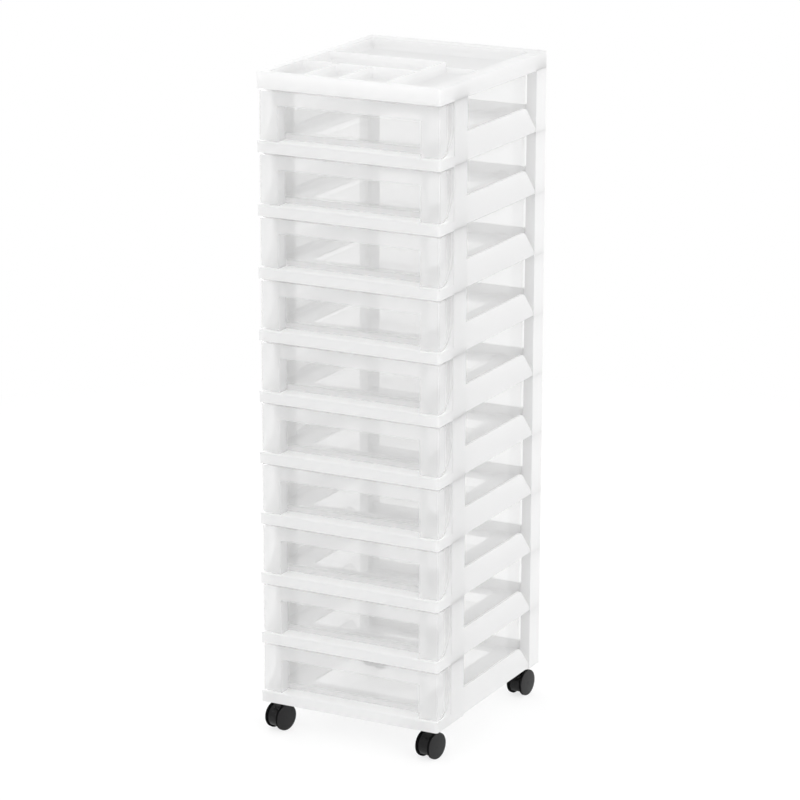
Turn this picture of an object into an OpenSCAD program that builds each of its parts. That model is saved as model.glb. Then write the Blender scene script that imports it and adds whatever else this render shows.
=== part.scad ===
// Rolling drawer tower: ten stacked frames with sliding drawers, a compartment tray on top
// and four hooded twin-wheel casters. Millimetres. X is the width, -Y the front, +Z up, and
// the origin is on the floor under the middle of the tower.

/* [Tower] */
// Width over the frames
tower_w = 306; // [280:1:400]
// Depth over the frames
tower_d = 362; // [320:1:460]
// Number of drawers
tiers = 10; // [3:1:10]
// Height from one frame to the next
tier_pitch = 96.5; // [85:0.5:130]
// Radius of the upright outer corners
corner_r = 4; // [3:0.5:8]
// Wall thickness of the moulded frames and the tray
wall = 3; // [2:0.25:4]

/* [Frame] */
// Height of the front lip
lip_h = 17; // [14:0.5:24]
// Rounding of the lip's top edge
lip_round = 3; // [1:0.5:3]
// Thickness of the deck that carries the drawer
deck_t = 3; // [2:0.25:4]
// Height of the deck over the lip
deck_rise = 7.5; // [3:0.5:12]
// Distance from the front face to the deck's opening
front_deck = 56; // [50:1:80]
// Width of the deck along each side
side_deck = 60; // [30:1:80]
// Distance from the back to the deck's opening
rear_deck = 38; // [30:1:90]
// Radius of the deck opening's corners
opening_r = 12; // [4:1:30]
// How far the side band stops above the lip's bottom edge
band_lift = 2; // [0.5:0.5:5]
// How far the side walls stand inside the posts' outer faces
side_inset = 1; // [0.5:0.5:2]
// Height of the side rail over the lip's bottom edge
rail_h = 45; // [35:1:60]
// Radius of the side rail's rear shoulder
rail_shoulder_r = 20; // [10:1:25]
// Distance from the rail's shoulder centre to the rear post
rail_tail = 43; // [35:1:60]
// Height of the rail where it meets the rear post
rail_tail_h = 8; // [5:0.5:12]
// Height of the back rail over the lip's bottom edge
back_rail_h = 40; // [30:1:60]
// Distance from the rear posts' front faces to the back rail
back_rail_in = 14; // [8:1:30]

/* [Posts] */
// Thickness of the posts across the width
post_t = 16; // [12:0.5:22]
// Distance from the lip's face to the front posts
post_setback = 46.5; // [38:0.5:60]
// Depth of the front posts
front_post_d = 42.5; // [30:0.5:55]
// Depth of the rear posts
rear_post_d = 38; // [28:0.5:50]
// Wall thickness of the posts
post_wall = 3; // [2:0.25:4]
// Height of the stacking pegs
peg_h = 12; // [8:0.5:16]
// Clearance between a peg and its socket, each side
peg_gap = 0.4; // [0.2:0.05:0.8]
// Clearance over the pegs in the organizer's sockets
peg_room = 1; // [0.5:0.5:2]
// Radius of the gusset between the lip and the front post
gusset_r = 45; // [30:1:46]
// How far the gusset stands inside the lip's side face
gusset_inset = 0.5; // [0.25:0.25:2]

/* [Drawer] */
// Wall thickness of the drawers
drawer_wall = 2; // [1.5:0.25:3]
// Clearance under the drawer
slide_gap = 0.3; // [0.2:0.05:0.8]
// Clearance over the drawer front
top_gap = 2.5; // [1.5:0.5:6]
// Inset of the drawer front from the frame's sides
side_reveal = 1.5; // [0.5:0.5:4]
// Inset of the drawer front from the lip's face
front_reveal = 4; // [2:0.5:8]
// Clearance between the drawer's rim and the posts
post_gap = 1; // [0.5:0.25:3]
// Clearance between the drawer front and the gusset and post behind it
cap_gap = 0.6; // [0.3:0.1:1.5]
// Clearance behind the drawer
rear_gap = 4; // [2:0.5:10]
// Width of each upright pillar of the drawer front
pillar_w = 32.5; // [25:0.5:45]
// Height of the pull bar
bar_h = 22; // [16:0.5:30]
// Depth of the finger recess under the pull bar
recess_d = 23; // [18:0.5:32]
// Projection of the rim round the drawer's top
rim_out = 2; // [1:0.25:3]
// Height of that rim
rim_h = 3; // [2:0.5:5]
// Drop of the rim below the pull bar's top
rim_drop = 2; // [1:0.5:5]
// Radius of the drawer's rear corners
drawer_corner_r = 8; // [4:0.5:14]
// Radius of the drawer front's upright edges
front_edge_r = 3; // [1.5:0.5:5]

/* [Organizer] */
// Height of the organizer's outer band
top_h = 26; // [24:0.5:34]
// Depth of its compartments
tray_depth = 16; // [10:0.5:18]
// Width of the rim along each side
tray_side_rim = 18; // [17:0.5:26]
// Width of the rim at the back
tray_rear_rim = 28; // [16:0.5:40]
// Width of the rim at the front
tray_front_rim = 7; // [5:0.5:12]
// Distance from the front of the tower to the back of the small compartments' block
block_d = 203; // [170:1:230]
// Distance from the right side of the tower to that block
block_gap = 93; // [70:1:120]
// Thickness of the tray's dividers
divider_t = 3; // [2:0.25:4]
// Distance from the front of the tower to the long divider's middle
long_divider_d = 116; // [90:1:140]
// Width of the first small compartment's divider place, from the left side
small_divider_a = 73; // [55:1:85]
// The same for the second divider
small_divider_b = 131; // [105:1:150]
// Drop of the two small dividers below the rim
small_divider_drop = 1; // [0.5:0.5:6]
// Drop of the divider between the rear trough and the right compartment
low_divider_drop = 8; // [4:0.5:10]
// Corner radius of the compartments
tray_corner_r = 6; // [3:0.5:10]
// Radius between the compartments' walls and floors
scoop_r = 8; // [2:0.5:10]

/* [Casters] */
// Height from the floor to the base frame
caster_h = 50; // [46:0.5:70]
// Distance of the stems from the tower's sides
stem_side = 22; // [20:0.5:30]
// Distance of the stems from the tower's front and back
stem_end = 32; // [30:0.5:45]
// Wheel diameter
wheel_d = 42; // [36:0.5:42]
// Width over both wheels' caps
wheel_span = 28.6; // [27:0.2:32]
// Width of each tyre
tyre_w = 3; // [2:0.25:4]
// Thickness of each tyre
tyre_t = 3.5; // [2.5:0.25:5]
// Thickness of the wheels' cap at its edge
cap_t = 1; // [0.75:0.25:2]
// Height of the dome on each cap
dome_h = 0.8; // [0.4:0.1:1.5]
// Offset of the axle from the stem
trail = 8; // [6:0.5:10]
// How far the hood stands inside the tread
hood_drop = 1.5; // [1:0.5:3]
// Thickness of the hood's shell
hood_t = 2; // [1.5:0.25:3]
// Thickness of the hood's middle web
web_t = 7; // [5:0.5:10]
// Clearance between the hood and the wheels
hood_gap = 0.5; // [0.3:0.1:1.5]
// Height of the hood's lower edge over the floor
hood_clear = 9; // [6:0.5:12]
// Axle diameter
axle_d = 5; // [4:0.25:6]
// Wall of the hubs round the axle
hub_wall = 2; // [1.5:0.25:3]
// Thickness of the wheels' rim under the tyre
rim_wall = 2; // [1.5:0.25:3]
// Stem diameter
stem_d = 8; // [6:0.25:9]
// Stem length inside the base frame
stem_in = 14; // [10:0.5:14]
// Distance from the axle's hub to the stem's lower end
stem_rise = 2; // [1:0.5:4]
// Thickness of the stem's collar
collar_t = 1.5; // [1:0.25:2.5]
// Projection of the stem's collar
collar_out = 4; // [2:0.5:5]
// Wall of the hood's pad round the stem
pad_wall = 3; // [2:0.25:4]
// Wall of the base frame's socket round the stem
socket_wall = 4; // [2.5:0.25:5]
// Radial clearance of the turning fits
fit_gap = 0.05; // [0.03:0.01:0.1]
// Swivel of the front left caster at rest
swivel_front_left = 165; // [-180:1:180]
// Swivel of the front right caster at rest
swivel_front_right = 169; // [-180:1:180]
// Swivel of the rear left caster at rest
swivel_rear_left = -12; // [-180:1:180]
// Swivel of the rear right caster at rest
swivel_rear_right = -6; // [-180:1:180]

/* [Hidden] */
$fn = 48;
cut = 1; // overshoot of the cutting solids

half_w = tower_w / 2;
front_y = -tower_d / 2;
back_y = tower_d / 2;
deck_z = lip_h + deck_rise; // top of the deck, where the drawer slides
side_x = half_w - side_inset;
post_in = half_w - post_t; // inner faces of the posts
post_y0 = front_y + post_setback;
post_y1 = post_y0 + front_post_d;
rear_post_y = back_y - rear_post_d;
back_rail_y = rear_post_y + back_rail_in;
open_x = half_w - side_deck;
open_y0 = front_y + front_deck;
open_y1 = back_y - rear_deck;
shoulder_y = rear_post_y - rail_tail;
shoulder_z = rail_h - rail_shoulder_r;
tail = [rail_tail, rail_tail_h - shoulder_z]; // from the shoulder's centre to the rail's end
tail_a = atan2(tail[1], tail[0]) + acos(rail_shoulder_r / norm(tail));
tail_y = shoulder_y + rail_shoulder_r * cos(tail_a); // where the tail leaves the shoulder
tail_z = shoulder_z + rail_shoulder_r * sin(tail_a);
notch_y = rear_post_y - (deck_z - rail_tail_h) * (rear_post_y - tail_y) / (tail_z - rail_tail_h);
gusset_z = lip_h + gusset_r;
gusset_y = post_y0 - gusset_r;

front_z = lip_h + slide_gap; // underside of the drawer front
drawer_z = deck_z + slide_gap; // underside of the drawer's floor
drawer_top = tier_pitch - top_gap;
rim_top = drawer_top - rim_drop;
cap_x = half_w - side_reveal;
rim_x = post_in - post_gap;
body_x = rim_x - rim_out;
pillar_x = cap_x - pillar_w;
drawer_y0 = front_y + front_reveal;
panel_y = drawer_y0 + recess_d;
cap_y = post_y0 - cap_gap;
drawer_y1 = back_rail_y - rear_gap;
step_y = panel_y + drawer_wall + cap_gap; // where the deck steps up from the lip
cap_cut_r = gusset_r - cap_gap;
bar_z = drawer_top - bar_h;

tray_x = half_w - tray_side_rim;
tray_y0 = front_y + tray_front_rim;
tray_y1 = back_y - tray_rear_rim;
tray_z = top_h - tray_depth;
block_y = front_y + block_d;
block_x = half_w - block_gap;
long_y = front_y + long_divider_d;

wheel_r = wheel_d / 2;
wheel_x = wheel_span / 2 - tyre_w - cap_t - dome_h; // inner face of each wheel
rim_r = wheel_r - tyre_t;
hood_x = wheel_x - hood_gap;
hood_r = wheel_r - hood_drop;
hub_r = axle_d / 2 + hub_wall;
cap_r = wheel_r - cap_t / 4; // the cap stays just inside the tread
cap_z = tyre_w + cap_t;
dome_r = (pow(wheel_r, 2) + pow(dome_h, 2)) / (2 * dome_h);
bore_depth = tyre_w + cap_t / 2;
axle_len = 2 * (wheel_x + tyre_w);
pad_top = caster_h - collar_t;
swivel_r = stem_d / 2 + fit_gap;
stem_low = wheel_r + hub_r + stem_rise;
socket_h = peg_h + peg_room;

CORNERS = ["front_left", "front_right", "rear_left", "rear_right"];
CORNER_X = [-1, 1, -1, 1];
CORNER_Y = [-1, -1, 1, 1];
SWIVEL = [swivel_front_left, swivel_front_right, swivel_rear_left, swivel_rear_right];
CASTER_PARTS = ["stem", "hood", "axle", "wheel_left", "wheel_right", "tyre_left", "tyre_right"];
FRAMES = concat([for (i = [1:tiers - 1]) str("frame_", i)], ["base_frame"]);

function tier_z(i) = caster_h + (tiers - i) * tier_pitch;

// ---- shared shapes ----

// A box given by its lowest and highest corners
module block(low, high) {
    translate(low) cube(high - low);
}

// A rectangle with rounded corners, centred
module round_rect(w, d, r) {
    square([w - 2 * r, d], center = true);
    square([w, d - 2 * r], center = true);
    for (x = [-1, 1], y = [-1, 1]) translate([x * (w / 2 - r), y * (d / 2 - r)]) circle(r);
}

// A rounded rectangle given by its lowest and highest corners
module round_span(low, high, r) {
    translate((low + high) / 2) round_rect(high[0] - low[0], high[1] - low[1], r);
}

// A bar section of width w and height h with its two top corners rounded
module soft_top(w, h, r) {
    translate([-w / 2, 0]) square([w, h - r]);
    translate([r - w / 2, 0]) square([w - 2 * r, h]);
    for (x = [-1, 1]) translate([x * (w / 2 - r), h - r]) circle(r);
}

// A slab with rounded upright corners and a rounded top edge; the back edge is left sharp
// where the slab runs on into another shape
module soft_slab(low, high, r_corner, r_top, runs_on = false) {
    size = high - low;
    reach = runs_on ? r_corner + r_top + cut : 0;
    intersection() {
        translate([0, 0, low[2]]) linear_extrude(size[2])
            round_span([low[0], low[1]], [high[0], high[1]], r_corner);
        translate([(low[0] + high[0]) / 2, high[1] + cut, low[2]]) rotate([90, 0, 0])
            linear_extrude(size[1] + 2 * cut) soft_top(size[0], size[2], r_top);
        translate([low[0] - cut, low[1] + (size[1] + reach) / 2, low[2]]) rotate([90, 0, 90])
            linear_extrude(size[0] + 2 * cut) soft_top(size[1] + reach, size[2], r_top);
    }
}

// The same thing on both sides of the tower
module both_sides() {
    children();
    mirror([1, 0, 0]) children();
}

// A section drawn in Y and Z, extruded from x0 to x1
module side_profile(x0, x1) {
    translate([x0, 0, 0]) rotate([90, 0, 90]) linear_extrude(x1 - x0) children();
}

// ---- frame ----

module post_blocks() {
    block([post_in, post_y0, 0], [half_w, post_y1, tier_pitch]);
    intersection() {
        block([post_in, rear_post_y, 0], [half_w, back_y, tier_pitch]);
        linear_extrude(tier_pitch) round_rect(tower_w, tower_d, corner_r);
    }
}

// The hollow of both posts on one side, shrunk by gap
module post_core(z0, z1, gap) {
    inset = post_wall + gap;
    block([post_in + inset, post_y0 + inset, z0], [half_w - inset, post_y1 - inset, z1]);
    block([post_in + inset, rear_post_y + inset, z0], [half_w - inset, back_y - inset, z1]);
}

// Outline of the side rail in Y and Z, with its round shoulder and sloping tail
module rail_outline() {
    translate([post_y1 - cut, band_lift]) square([shoulder_y - post_y1 + cut, rail_h - band_lift]);
    translate([shoulder_y, shoulder_z]) circle(rail_shoulder_r);
    polygon([
        [shoulder_y, band_lift],
        [rear_post_y + cut, band_lift],
        [rear_post_y + cut, rail_tail_h],
        [rear_post_y, rail_tail_h],
        [tail_y, tail_z],
        [shoulder_y, shoulder_z]
    ]);
}

// The concave brace between the lip and the front post
module gusset_outline() {
    difference() {
        translate([gusset_y, lip_h - lip_round]) square([gusset_r + cut, gusset_r + lip_round]);
        translate([gusset_y, gusset_z]) circle(gusset_r);
    }
}

// The lip with its top plate, open underneath and behind the deck's step
module lip_shell() {
    difference() {
        soft_slab([-half_w, front_y, 0], [half_w, post_y1, lip_h], corner_r, lip_round, true);
        block([wall - side_x, front_y + wall, -cut], [side_x - wall, post_y1 + cut, lip_h - deck_t]);
        block([-post_in, step_y + wall, 0], [post_in, post_y1 + cut, lip_h + cut]);
    }
    block([-post_in - cut, step_y, lip_h - deck_t], [post_in + cut, step_y + wall, deck_z]);
}

// The raised deck between the rails: it narrows to pass the rails' sloping tails
module deck_plate() {
    low_z = deck_z - deck_t;
    difference() {
        union() {
            block([cut - side_x, step_y, low_z], [side_x - cut, notch_y, deck_z]);
            block([-post_in, notch_y - cut, low_z], [post_in, rear_post_y + cut, deck_z]);
            block([-post_in - cut, rear_post_y, low_z], [post_in + cut, back_rail_y + wall, deck_z]);
        }
        translate([0, 0, lip_h]) linear_extrude(deck_z)
            round_span([-open_x, open_y0], [open_x, open_y1], opening_r);
    }
}

// Back rail on the deck, and the low band behind it
module back_walls() {
    block([-post_in - cut, back_rail_y, deck_z - deck_t], [post_in + cut, back_rail_y + wall, back_rail_h]);
    block([-post_in - cut, back_y - wall, band_lift], [post_in + cut, back_y, lip_h]);
}

module frame_body() {
    difference() {
        union() {
            lip_shell();
            deck_plate();
            back_walls();
            both_sides() {
                post_blocks();
                side_profile(side_x - wall, side_x) rail_outline();
                side_profile(post_in, half_w - gusset_inset) gusset_outline();
            }
        }
        both_sides() post_core(-cut, tier_pitch - post_wall, 0);
    }
    both_sides() post_core(tier_pitch - cut, tier_pitch + peg_h, peg_gap);
}

module frame(i) {
    color("whitesmoke") translate([0, 0, tier_z(i)]) frame_body();
}

// Places a caster's socket or stem under its corner
module at_stem(k) {
    translate([CORNER_X[k] * (half_w - stem_side), CORNER_Y[k] * (back_y - stem_end), 0]) children();
}

module base_frame() {
    color("whitesmoke") translate([0, 0, caster_h]) difference() {
        union() {
            frame_body();
            // caster bosses, up into the lip's plate in front and into the deck behind
            for (k = [0:3]) at_stem(k)
                cylinder(r = stem_d / 2 + socket_wall, h = (CORNER_Y[k] < 0 ? lip_h : deck_z) - deck_t / 2);
        }
        for (k = [0:3]) at_stem(k) translate([0, 0, -cut]) cylinder(d = stem_d, h = stem_in + cut);
    }
}

// ---- drawer ----

// Section of the drawer front's corner boxes, grown inwards by t, in Y and Z
module cap_outline(t) {
    intersection() {
        translate([drawer_y0 + t, front_z + t])
            square([cap_y - drawer_y0 - 2 * t, drawer_top - front_z - 2 * t]);
        union() {
            translate([gusset_y, gusset_z]) circle(cap_cut_r - t);
            translate([drawer_y0, gusset_z]) square([cap_y - drawer_y0, tier_pitch]);
        }
    }
}

module drawer_solid() {
    // body
    translate([0, 0, drawer_z]) linear_extrude(rim_top - drawer_z)
        round_span([-body_x, panel_y], [body_x, drawer_y1], drawer_corner_r);
    block([-body_x, panel_y, drawer_z], [body_x, panel_y + drawer_corner_r, drawer_top]);
    // front wall, down over the deck's step
    block([-body_x, panel_y, front_z], [body_x, panel_y + drawer_wall, drawer_top]);
    // rim along the sides and the back
    translate([0, 0, rim_top - rim_h]) linear_extrude(rim_h)
        round_span([-rim_x, cap_y - drawer_wall], [rim_x, drawer_y1 + rim_out], drawer_corner_r);
    // pillars, their corner boxes and the pull bar, with rounded upright edges
    intersection() {
        union() {
            both_sides() {
                block([pillar_x, drawer_y0, front_z], [body_x, panel_y + cut, drawer_top]);
                side_profile(body_x - cut, cap_x) cap_outline(0);
            }
            block([-pillar_x - cut, drawer_y0, bar_z], [pillar_x + cut, panel_y + cut, drawer_top]);
        }
        linear_extrude(tier_pitch)
            round_span([-cap_x, drawer_y0], [cap_x, drawer_y1], front_edge_r);
    }
}

module drawer_hollow() {
    t = drawer_wall;
    translate([0, 0, drawer_z + t]) linear_extrude(tier_pitch)
        round_span([t - body_x, panel_y + t], [body_x - t, drawer_y1 - t], drawer_corner_r - t);
    both_sides() {
        block([pillar_x + t, drawer_y0 + t, front_z + t], [body_x, panel_y, drawer_top - t]);
        block(
            [pillar_x + t, panel_y - cut, drawer_z + t],
            [body_x, panel_y + t + drawer_corner_r, drawer_top - t]
        );
        side_profile(body_x - t - cut, cap_x - t) cap_outline(t);
    }
    // room for the fingers behind the pull bar
    block([-pillar_x, drawer_y0 + t, 0], [pillar_x, panel_y, drawer_top - t]);
}

module drawer(i) {
    color([0.9, 0.93, 0.95, 0.55]) translate([0, 0, tier_z(i)]) difference() {
        drawer_solid();
        drawer_hollow();
    }
}

// ---- organizer top ----

// One compartment, from its low corner to its high corner in X and Y, scooped along its floor
module pocket(low, high) {
    translate([0, 0, tray_z + top_h]) mirror([0, 0, 1])
        soft_slab([low[0], low[1], 0], [high[0], high[1], top_h], tray_corner_r, scoop_r);
}

// A flat recess that lowers a divider
module lowering(low, high, drop) {
    translate([0, 0, top_h - drop]) linear_extrude(top_h) round_span(low, high, tray_corner_r);
}

module organizer_top() {
    half_t = divider_t / 2;
    small_x = [small_divider_a - half_w, small_divider_b - half_w];
    box_right = block_x - divider_t;
    color("whitesmoke") translate([0, 0, tier_z(0)]) difference() {
        union() {
            difference() {
                soft_slab([-half_w, front_y, 0], [half_w, back_y, top_h], corner_r, lip_round);
                // rear trough and right compartment
                pocket([-tray_x, block_y], [tray_x, tray_y1]);
                pocket([block_x, tray_y0], [tray_x, block_y - divider_t]);
                lowering([block_x, block_y - 2 * tray_corner_r - divider_t],
                    [tray_x, block_y + 2 * tray_corner_r], low_divider_drop);
                // long compartment
                pocket([-tray_x, long_y + half_t], [box_right, block_y - divider_t]);
                // the row of small ones
                pocket([-tray_x, tray_y0], [small_x[0] - half_t, long_y - half_t]);
                pocket([small_x[0] + half_t, tray_y0], [small_x[1] - half_t, long_y - half_t]);
                pocket([small_x[1] + half_t, tray_y0], [box_right, long_y - half_t]);
                for (x = small_x) lowering(
                    [x - 2 * tray_corner_r, tray_y0], [x + 2 * tray_corner_r, long_y - half_t],
                    small_divider_drop
                );
                // hollow underneath, below the tray's floor and inside the rim
                block([wall - half_w, front_y + wall, -cut], [half_w - wall, back_y - wall, tray_z - wall]);
                both_sides() block(
                    [tray_x + wall, tray_y0 + wall, 0], [half_w - wall, back_y - wall, top_h - wall]
                );
                block(
                    [-tray_x - 2 * wall, tray_y1 + wall, 0], [tray_x + 2 * wall, back_y - wall, top_h - wall]
                );
            }
            both_sides() intersection() {
                post_seat();
                linear_extrude(top_h - lip_round) round_rect(tower_w, tower_d, corner_r);
            }
        }
        both_sides() post_core(-cut, socket_h, 0);
    }
}

// Solid seats over the posts of the uppermost frame
module post_seat() {
    block([post_in, post_y0, 0], [half_w, post_y1, socket_h + wall]);
    block([post_in, rear_post_y, 0], [half_w, back_y, socket_h + wall]);
}

// ---- casters ----

// Places a caster's part: the stem's axis on Z, the axle along X and behind the stem
module at_caster(k) {
    at_stem(k) rotate([0, 0, SWIVEL[k]]) children();
}

module on_axle() {
    translate([0, trail, wheel_r]) rotate([0, 90, 0]) children();
}

// A wheel's part on its own side of the hood
module on_side(side) {
    on_axle() rotate([side < 0 ? 180 : 0, 0, 0]) translate([0, 0, wheel_x]) children();
}

module caster_stem() {
    color("silver") {
        translate([0, 0, stem_low]) cylinder(d = stem_d, h = caster_h + stem_in - stem_low);
        translate([0, 0, pad_top]) cylinder(r = stem_d / 2 + collar_out, h = collar_t);
    }
}

module caster_hood() {
    pad_z = stem_low - hood_t; // lower end of the pad that carries the stem
    pad_h = pad_top - hood_gap / 2 - pad_z;
    color([0.22, 0.22, 0.23]) difference() {
        union() {
            difference() {
                on_axle() translate([0, 0, -hood_x]) cylinder(r = hood_r, h = 2 * hood_x);
                on_axle() for (s = [-1, 1]) translate([0, 0, s * (hood_x + web_t / 2) - hood_x])
                    cylinder(r = hood_r - hood_t, h = 2 * hood_x);
            }
            on_axle() translate([0, 0, -hood_x]) cylinder(r = hub_r, h = 2 * hood_x);
            translate([0, 0, pad_z]) cylinder(r = swivel_r + pad_wall, h = pad_h);
        }
        on_axle() translate([0, 0, -wheel_span]) cylinder(d = axle_d, h = 2 * wheel_span);
        translate([0, 0, stem_low - fit_gap]) cylinder(r = swivel_r, h = caster_h);
        block([-wheel_span, -wheel_d, -cut], [wheel_span, 2 * wheel_d, hood_clear]);
    }
}

module caster_axle() {
    color("silver") on_axle() translate([0, 0, -axle_len / 2]) cylinder(d = axle_d, h = axle_len);
}

// Section of a wheel with its hub, rim and domed cap; radius outwards, face upwards
module wheel_section() {
    difference() {
        union() {
            square([rim_r, cap_z]);
            translate([0, tyre_w]) square([cap_r, cap_t]);
            intersection() {
                translate([0, tyre_w]) square([cap_r, cap_t + dome_h]);
                translate([0, cap_z + dome_h - dome_r]) circle(dome_r, $fn = 720);
            }
        }
        translate([hub_r, -cut]) square([rim_r - rim_wall - hub_r, tyre_w + cut]);
        translate([-cut, -cut]) square([axle_d / 2 + fit_gap + cut, bore_depth + cut]);
    }
}

module caster_wheel(side) {
    color([0.3, 0.3, 0.31]) on_side(side) rotate_extrude($fn = 96) wheel_section();
}

module caster_tyre(side) {
    color([0.1, 0.1, 0.1]) on_side(side) difference() {
        cylinder(r = wheel_r, h = tyre_w);
        translate([0, 0, -cut]) cylinder(r = rim_r, h = tyre_w + 2 * cut);
    }
}

module caster_part(part) {
    if (part == "stem") caster_stem();
    if (part == "hood") caster_hood();
    if (part == "axle") caster_axle();
    if (part == "wheel_left") caster_wheel(-1);
    if (part == "wheel_right") caster_wheel(1);
    if (part == "tyre_left") caster_tyre(-1);
    if (part == "tyre_right") caster_tyre(1);
}

// ---- nodes ----

organizer_top();
for (i = [1:tiers - 1]) frame(i);
base_frame();
for (i = [1:tiers]) drawer(i);
for (k = [0:3]) for (p = CASTER_PARTS)
    at_caster(k) caster_part(p);
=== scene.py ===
import math

import bpy
from mathutils import Matrix, Vector

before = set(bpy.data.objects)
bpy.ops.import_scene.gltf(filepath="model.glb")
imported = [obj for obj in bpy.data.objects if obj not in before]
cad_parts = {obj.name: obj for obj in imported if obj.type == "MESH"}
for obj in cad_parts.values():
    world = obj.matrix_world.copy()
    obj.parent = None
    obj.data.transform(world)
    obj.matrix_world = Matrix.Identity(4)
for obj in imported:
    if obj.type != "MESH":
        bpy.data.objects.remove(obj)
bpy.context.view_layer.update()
mm = 0.001
print("frame loaded:", len(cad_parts), "nodes")


# sRGB hex to the linear colour that Blender's sockets take
def linear(hexColour):
    parts = [int(hexColour[i:i + 2], 16) / 255 for i in (1, 3, 5)]
    return tuple(c / 12.92 if c <= 0.04045 else ((c + 0.055) / 1.055) ** 2.4 for c in parts) + (1.0,)


plainWhite = linear("#FFFFFF")


# Adds one shader node; inputs maps a socket to a value or to the output that feeds it
def addNode(tree, kind, inputs=None, **settings):
    node = tree.nodes.new(kind)
    for name, value in settings.items():
        setattr(node, name, value)
    for name, value in (inputs or {}).items():
        socket = node.inputs[name]
        if isinstance(value, bpy.types.NodeSocket):
            tree.links.new(value, socket)
        else:
            socket.default_value = value
    return node


# A new material, its emptied tree, and the object's own coordinates in that tree
def newMaterial(name):
    material = bpy.data.materials.new(name)
    material.use_nodes = True
    tree = material.node_tree
    tree.nodes.clear()
    return material, tree, addNode(tree, "ShaderNodeTexCoord").outputs["Object"]


# Normal with moulded edges of radius edge and a relief of the given depth
def relief(tree, height, edge, depth, strength):
    rounded = addNode(tree, "ShaderNodeBevel", {"Radius": edge}).outputs["Normal"]
    return addNode(tree, "ShaderNodeBump", {
        "Height": height, "Strength": strength, "Distance": depth, "Normal": rounded}).outputs["Normal"]


def underside(name):
    return min(vertex.co.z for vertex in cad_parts[name].data.vertices)


# The frames are stacked at one pitch, from the base frame up to the organizer
tiers = {
    "start": underside("base_frame"),
    "end": underside("organizer_top"),
    "pitch": underside("frame_9") - underside("base_frame"),
}


# How deep a point lies, how high over the underside of its own frame, and whether it is in a tier
def placeInTier(tree, place):
    parts = addNode(tree, "ShaderNodeSeparateXYZ", {0: place}).outputs
    height = addNode(tree, "ShaderNodeMath", {
        0: parts["Z"], 1: tiers["start"]}, operation="SUBTRACT").outputs[0]
    level = addNode(tree, "ShaderNodeMath", {0: height, 1: tiers["pitch"]}, operation="MODULO").outputs[0]
    inside = addNode(tree, "ShaderNodeMath", {
        0: parts["Z"], 1: tiers["end"]}, operation="LESS_THAN").outputs[0]
    return parts["Y"], level, inside


# A fine grain, as spark erosion leaves it on the mould
grainNoise = {"Detail": 3.0, "Roughness": 0.6}

# Injection-moulded polypropylene with white pigment, for the frames and the organizer: soft satin
# sheen, faintly waxy, a fine spark-eroded grain that breaks up the highlights, flow marks too weak
# to see as lines, and walls thin enough to let some light through, less where they are thick.
whiteSpec = {
    "colour": "#F9F9F9",
    "shade": "#F6F6F6",
    "ior": 1.49,
    "roughness": (0.36, 0.5),
    "flow": 120 * mm,
    "grain": 2.5 * mm,  # the real grain is finer; this is as coarse as it has to be to show
    "relief": {"edge": 1.2 * mm, "depth": 0.05 * mm, "strength": 0.12},
    "through": 0.55,  # share of the light
    "ledge": {"height": 17.5 * mm, "give": 0.8 * mm, "before": -150 * mm},  # the lip's thick top
    "rear": {"behind": 141 * mm, "thickness": 0.5},  # the double walls; the ledge's thickness is 1
    "ledgeThrough": 0.05,
}


# How thick the moulding is: 1 on the lip's top, less in the double walls, 0 where it is one wall
def thickness(tree, place):
    depth, level, inside = placeInTier(tree, place)
    ledge, rear = whiteSpec["ledge"], whiteSpec["rear"]
    top = addNode(tree, "ShaderNodeMath", {
        0: level, 1: ledge["height"], 2: ledge["give"]}, operation="COMPARE").outputs[0]
    before = addNode(tree, "ShaderNodeMath", {
        0: depth, 1: ledge["before"]}, operation="LESS_THAN").outputs[0]
    onLedge = addNode(tree, "ShaderNodeMath", {0: top, 1: before}, operation="MULTIPLY").outputs[0]
    behind = addNode(tree, "ShaderNodeMath", {
        0: depth, 1: rear["behind"]}, operation="GREATER_THAN").outputs[0]
    thick = addNode(tree, "ShaderNodeMath", {
        0: behind, 1: rear["thickness"], 2: onLedge}, operation="MULTIPLY_ADD").outputs[0]
    return addNode(tree, "ShaderNodeMath", {0: thick, 1: inside}, operation="MULTIPLY").outputs[0]


def whitePolypropylene():
    material, tree, place = newMaterial("whitePolypropyleneMoulded")
    flow = addNode(tree, "ShaderNodeTexNoise", {
        "Vector": place, "Scale": 1 / whiteSpec["flow"]}).outputs["Fac"]
    colour = addNode(tree, "ShaderNodeMix", {
        "Factor": flow, "A": linear(whiteSpec["shade"]), "B": linear(whiteSpec["colour"])},
        data_type="RGBA").outputs["Result"]
    grain = addNode(tree, "ShaderNodeTexNoise", {
        "Vector": place, "Scale": 1 / whiteSpec["grain"], **grainNoise}).outputs["Fac"]
    smooth, rough = whiteSpec["roughness"]
    roughness = addNode(tree, "ShaderNodeMapRange", {
        "Value": grain, "To Min": smooth, "To Max": rough}).outputs["Result"]
    normal = relief(tree, grain, **whiteSpec["relief"])
    skin = addNode(tree, "ShaderNodeBsdfPrincipled", {
        "Base Color": colour, "Roughness": roughness, "IOR": whiteSpec["ior"], "Normal": normal}).outputs[0]
    glow = addNode(tree, "ShaderNodeBsdfTranslucent", {
        "Color": linear(whiteSpec["colour"]), "Normal": normal}).outputs[0]
    through = addNode(tree, "ShaderNodeMapRange", {
        "Value": thickness(tree, place),
        "To Min": whiteSpec["through"], "To Max": whiteSpec["ledgeThrough"]}).outputs["Result"]
    body = addNode(tree, "ShaderNodeMixShader", {0: through, 1: skin, 2: glow}).outputs[0]
    addNode(tree, "ShaderNodeOutputMaterial", {"Surface": body})
    return material


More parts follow.
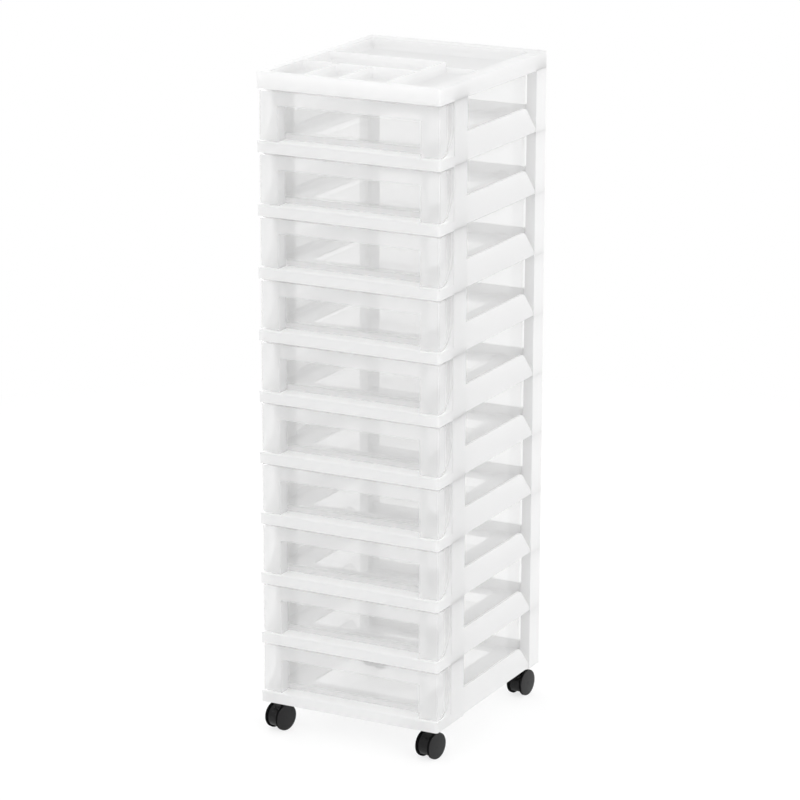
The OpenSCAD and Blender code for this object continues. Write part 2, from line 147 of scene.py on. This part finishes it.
# Clarified polypropylene, moulded in polished steel, for the drawers: see-through with a milky
# cast, glossy on both faces, slightly wavy where the melt flowed. The pillars and the pull bar in
# front and the panel's foot are finely sparked and milkier than the panel itself. Each of a wall's
# two faces scatters half of its haze, more at a slant, and mirrors by Schlick's formula.
clearSpec = {
    "tint": "#FEFEFE",
    "milk": "#FAFAFA",
    "haze": (0.08, 0.16),  # share of the light, square on and edge on
    "onward": 0.5,  # the part of the haze that goes on through the wall
    "frost": 0.18,  # more haze in the sparked front
    "panel": -154.5 * mm,  # the front lies before this Y
    "foot": {"before": -151.5 * mm, "below": 27.3 * mm},
    "mirror": 0.035,  # share square on
    "schlickPower": 5.0,
    "roughness": 0.1,
    "wave": 45 * mm,
    "relief": {"edge": 1.0 * mm, "depth": 0.4 * mm, "strength": 0.25},
}


# 1 in the drawer's front and in the panel's foot, 0 elsewhere
def sparkedPlaces(tree, place):
    depth, level = placeInTier(tree, place)[:2]
    foot = clearSpec["foot"]
    front = addNode(tree, "ShaderNodeMath", {
        0: depth, 1: clearSpec["panel"]}, operation="LESS_THAN").outputs[0]
    near = addNode(tree, "ShaderNodeMath", {0: depth, 1: foot["before"]}, operation="LESS_THAN").outputs[0]
    low = addNode(tree, "ShaderNodeMath", {0: level, 1: foot["below"]}, operation="LESS_THAN").outputs[0]
    inFoot = addNode(tree, "ShaderNodeMath", {0: low, 1: near}, operation="MULTIPLY").outputs[0]
    return addNode(tree, "ShaderNodeMath", {0: front, 1: inFoot}, operation="MAXIMUM").outputs[0]


def clearPolypropylene():
    material, tree, place = newMaterial("clearPolypropyleneMoulded")
    wave = addNode(tree, "ShaderNodeTexNoise", {
        "Vector": place, "Scale": 1 / clearSpec["wave"]}).outputs["Fac"]
    normal = relief(tree, wave, **clearSpec["relief"])
    slant = addNode(tree, "ShaderNodeLayerWeight", {"Normal": normal}).outputs["Facing"]
    steep = addNode(tree, "ShaderNodeMath", {
        0: slant, 1: clearSpec["schlickPower"]}, operation="POWER").outputs[0]
    window = addNode(tree, "ShaderNodeBsdfTransparent", {"Color": linear(clearSpec["tint"])}).outputs[0]
    scatter = {"Color": linear(clearSpec["milk"]), "Normal": normal}
    returned = addNode(tree, "ShaderNodeBsdfDiffuse", scatter).outputs[0]
    passed = addNode(tree, "ShaderNodeBsdfTranslucent", scatter).outputs[0]
    milk = addNode(tree, "ShaderNodeMixShader", {0: clearSpec["onward"], 1: returned, 2: passed}).outputs[0]
    squareOn, edgeOn = clearSpec["haze"]
    plainHaze = addNode(tree, "ShaderNodeMapRange", {
        "Value": slant, "To Min": squareOn, "To Max": edgeOn}).outputs["Result"]
    haze = addNode(tree, "ShaderNodeMath", {
        0: sparkedPlaces(tree, place), 1: clearSpec["frost"], 2: plainHaze},
        operation="MULTIPLY_ADD").outputs[0]
    body = addNode(tree, "ShaderNodeMixShader", {0: haze, 1: window, 2: milk}).outputs[0]
    gloss = addNode(tree, "ShaderNodeBsdfAnisotropic", {
        "Color": plainWhite, "Roughness": clearSpec["roughness"], "Normal": normal}).outputs[0]
    mirrored = addNode(tree, "ShaderNodeMapRange", {
        "Value": steep, "To Min": clearSpec["mirror"], "To Max": 1.0}).outputs["Result"]
    skin = addNode(tree, "ShaderNodeMixShader", {0: mirrored, 1: body, 2: gloss}).outputs[0]
    addNode(tree, "ShaderNodeOutputMaterial", {"Surface": skin})
    return material


# The casters. Glass-filled nylon hoods and wheel caps: dark, satin, finely grained. Tyres of black
# thermoplastic rubber: dull and a little dusty.
casterSpec = {
    "hood": {"colour": "#0B0B0C", "roughness": 0.2, "shine": 0.2, "strength": 0.3},
    "cap": {"colour": "#161617", "roughness": 0.24, "shine": 0.24, "strength": 0.25},
    "tyre": {"colour": "#070708", "roughness": 0.7, "shine": 0.06, "strength": 0.6},
    "ior": 1.5,
    "spread": 0.06,  # of the roughness, by the grain
    "grain": 1.6 * mm,
    "relief": {"edge": 0.5 * mm, "depth": 0.08 * mm},
}


def dullPlastic(name, colour, roughness, shine, strength):
    material, tree, place = newMaterial(name)
    grain = addNode(tree, "ShaderNodeTexNoise", {
        "Vector": place, "Scale": 1 / casterSpec["grain"], **grainNoise}).outputs["Fac"]
    spread = addNode(tree, "ShaderNodeMapRange", {
        "Value": grain, "To Min": roughness - casterSpec["spread"],
        "To Max": roughness + casterSpec["spread"]}).outputs["Result"]
    skin = addNode(tree, "ShaderNodeBsdfPrincipled", {
        "Base Color": linear(colour), "Roughness": spread,
        "IOR": casterSpec["ior"], "Specular IOR Level": shine,
        "Normal": relief(tree, grain, strength=strength, **casterSpec["relief"])}).outputs[0]
    addNode(tree, "ShaderNodeOutputMaterial", {"Surface": skin})
    return material


# Turned and zinc-plated steel, for the stems and axles: bright, with fine turning marks
steelSpec = {"colour": "#A9ABAE", "roughness": (0.22, 0.38), "marks": 1.1 * mm}


def zincSteel():
    material, tree, place = newMaterial("zincPlatedSteelTurned")
    marks = addNode(tree, "ShaderNodeTexNoise", {
        "Vector": place, "Scale": 1 / steelSpec["marks"]}).outputs["Fac"]
    smooth, rough = steelSpec["roughness"]
    roughness = addNode(tree, "ShaderNodeMapRange", {
        "Value": marks, "To Min": smooth, "To Max": rough}).outputs["Result"]
    skin = addNode(tree, "ShaderNodeBsdfPrincipled", {
        "Base Color": linear(steelSpec["colour"]), "Metallic": 1.0, "Roughness": roughness}).outputs[0]
    addNode(tree, "ShaderNodeOutputMaterial", {"Surface": skin})
    return material


def dress(material, belongs):
    names = [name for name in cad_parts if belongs(name)]
    for name in names:
        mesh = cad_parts[name].data
        mesh.materials.clear()
        mesh.materials.append(material)
    print(material.name, "on", len(names), "nodes")


dress(whitePolypropylene(), lambda name: "frame" in name or name == "organizer_top")
dress(clearPolypropylene(), lambda name: name.startswith("drawer_"))
dress(dullPlastic("glassFilledNylonHood", **casterSpec["hood"]), lambda name: name.endswith("_hood"))
dress(dullPlastic("glassFilledNylonCap", **casterSpec["cap"]), lambda name: "_wheel_" in name)
dress(dullPlastic("thermoplasticRubberTyre", **casterSpec["tyre"]), lambda name: "_tyre_" in name)
dress(zincSteel(), lambda name: name.endswith(("_stem", "_axle")))


# A seamless white paper floor, plain daylight from all round and three soft boxes: high ones in
# front and at the right, and a lower one behind that shines through the drawers
studio = {
    "floorSize": 30.0,
    "worldLight": 0.93,
    "floorGlow": 0.75,  # share of plain white in the floor that the camera sees; the rest keeps the shadow
    "floorFade": (0.6, 2.0),  # distances between which it grows to all of it
    "lamps": {  # place, size, power
        "softBoxFront": ((-0.6, -3.6, 3.4), 2.4, 37.0),
        "softBoxRight": ((3.8, -0.6, 2.8), 2.4, 40.0),
        "softBoxBack": ((-3.4, 3.2, 1.8), 2.4, 62.0),
    },
    "aim": (0.0, 0.0, 0.5),
}


# The camera, and what it sees in gloss or through plastic, gets plain white; the light stays as it is
def seenWhite(tree, shader, glowKind, share):
    path = addNode(tree, "ShaderNodeLightPath").outputs
    seen = path["Is Camera Ray"]
    for other in ("Is Glossy Ray", "Is Transmission Ray"):
        seen = addNode(tree, "ShaderNodeMath", {0: seen, 1: path[other]}, operation="MAXIMUM").outputs[0]
    part = addNode(tree, "ShaderNodeMath", {0: seen, 1: share}, operation="MULTIPLY").outputs[0]
    glow = addNode(tree, glowKind, {"Color": plainWhite, "Strength": 1.0}).outputs[0]
    return addNode(tree, "ShaderNodeMixShader", {0: part, 1: shader, 2: glow}).outputs[0]


def makeWorld():
    world = bpy.data.worlds.new("studioWorld")
    world.use_nodes = True
    tree = world.node_tree
    tree.nodes.clear()
    light = addNode(tree, "ShaderNodeBackground", {
        "Color": plainWhite, "Strength": studio["worldLight"]}).outputs[0]
    addNode(tree, "ShaderNodeOutputWorld", {"Surface": seenWhite(tree, light, "ShaderNodeBackground", 1.0)})
    bpy.context.scene.world = world


def makeFloor():
    half = studio["floorSize"] / 2
    corners = [(-half, -half, 0), (half, -half, 0), (half, half, 0), (-half, half, 0)]
    mesh = bpy.data.meshes.new("studioFloor")
    mesh.from_pydata(corners, [], [(0, 1, 2, 3)])
    floor = bpy.data.objects.new("studioFloor", mesh)
    bpy.context.scene.collection.objects.link(floor)
    material, tree, place = newMaterial("seamlessPaper")
    paper = addNode(tree, "ShaderNodeBsdfDiffuse", {"Color": plainWhite}).outputs[0]
    away = addNode(tree, "ShaderNodeVectorMath", {0: place}, operation="LENGTH").outputs["Value"]
    start, end = studio["floorFade"]
    share = addNode(tree, "ShaderNodeMapRange", {
        "Value": away, "From Min": start, "From Max": end,
        "To Min": studio["floorGlow"], "To Max": 1.0}).outputs["Result"]
    surface = seenWhite(tree, paper, "ShaderNodeEmission", share)
    addNode(tree, "ShaderNodeOutputMaterial", {"Surface": surface})
    mesh.materials.append(material)


def makeLamp(name, place, size, power):
    lamp = bpy.data.lights.new(name, "AREA")
    lamp.size = size
    lamp.energy = power
    holder = bpy.data.objects.new(name, lamp)
    holder.location = place
    holder.rotation_euler = (Vector(studio["aim"]) - Vector(place)).to_track_quat("-Z", "Y").to_euler()
    bpy.context.scene.collection.objects.link(holder)


photoCamera = {
    "place": (2.3775, -4.5835, 1.9647),
    "yaw": 27.473, "pitch": 15.727, "roll": 0.12,  # degrees; yaw to the left of +Y, pitch down
    "lens": 156.34, "sensor": 36.0,  # mm
    "clip": (0.1, 100.0),
}


def makeCamera():
    yaw, pitch, roll = (math.radians(photoCamera[name]) for name in ("yaw", "pitch", "roll"))
    right = Vector((math.cos(yaw), math.sin(yaw), 0))
    ahead = Vector((-math.sin(yaw) * math.cos(pitch), math.cos(yaw) * math.cos(pitch), -math.sin(pitch)))
    up = right.cross(ahead)
    turned = right * math.cos(roll) + up * math.sin(roll)
    upright = up * math.cos(roll) - right * math.sin(roll)
    camera = bpy.data.cameras.new("photoCamera")
    camera.sensor_width = photoCamera["sensor"]
    camera.lens = photoCamera["lens"]
    camera.clip_start, camera.clip_end = photoCamera["clip"]
    holder = bpy.data.objects.new("photoCamera", camera)
    holder.matrix_world = Matrix.Translation(photoCamera["place"]) @ Matrix(
        (turned, upright, -ahead)).transposed().to_4x4()
    bpy.context.scene.collection.objects.link(holder)
    bpy.context.scene.camera = holder


makeWorld()
makeFloor()
for lampName, (place, size, power) in studio["lamps"].items():
    makeLamp(lampName, place, size, power)
makeCamera()
bpy.context.scene.view_settings.view_transform = "Standard"

# A ray meets many clear walls, and white walls hand light on many times
bounces = {"transparent_max_bounces": 48, "max_bounces": 24, "diffuse_bounces": 12, "glossy_bounces": 8}
for kind, count in bounces.items():
    setattr(bpy.context.scene.cycles, kind, count)
print("studio and camera ready")
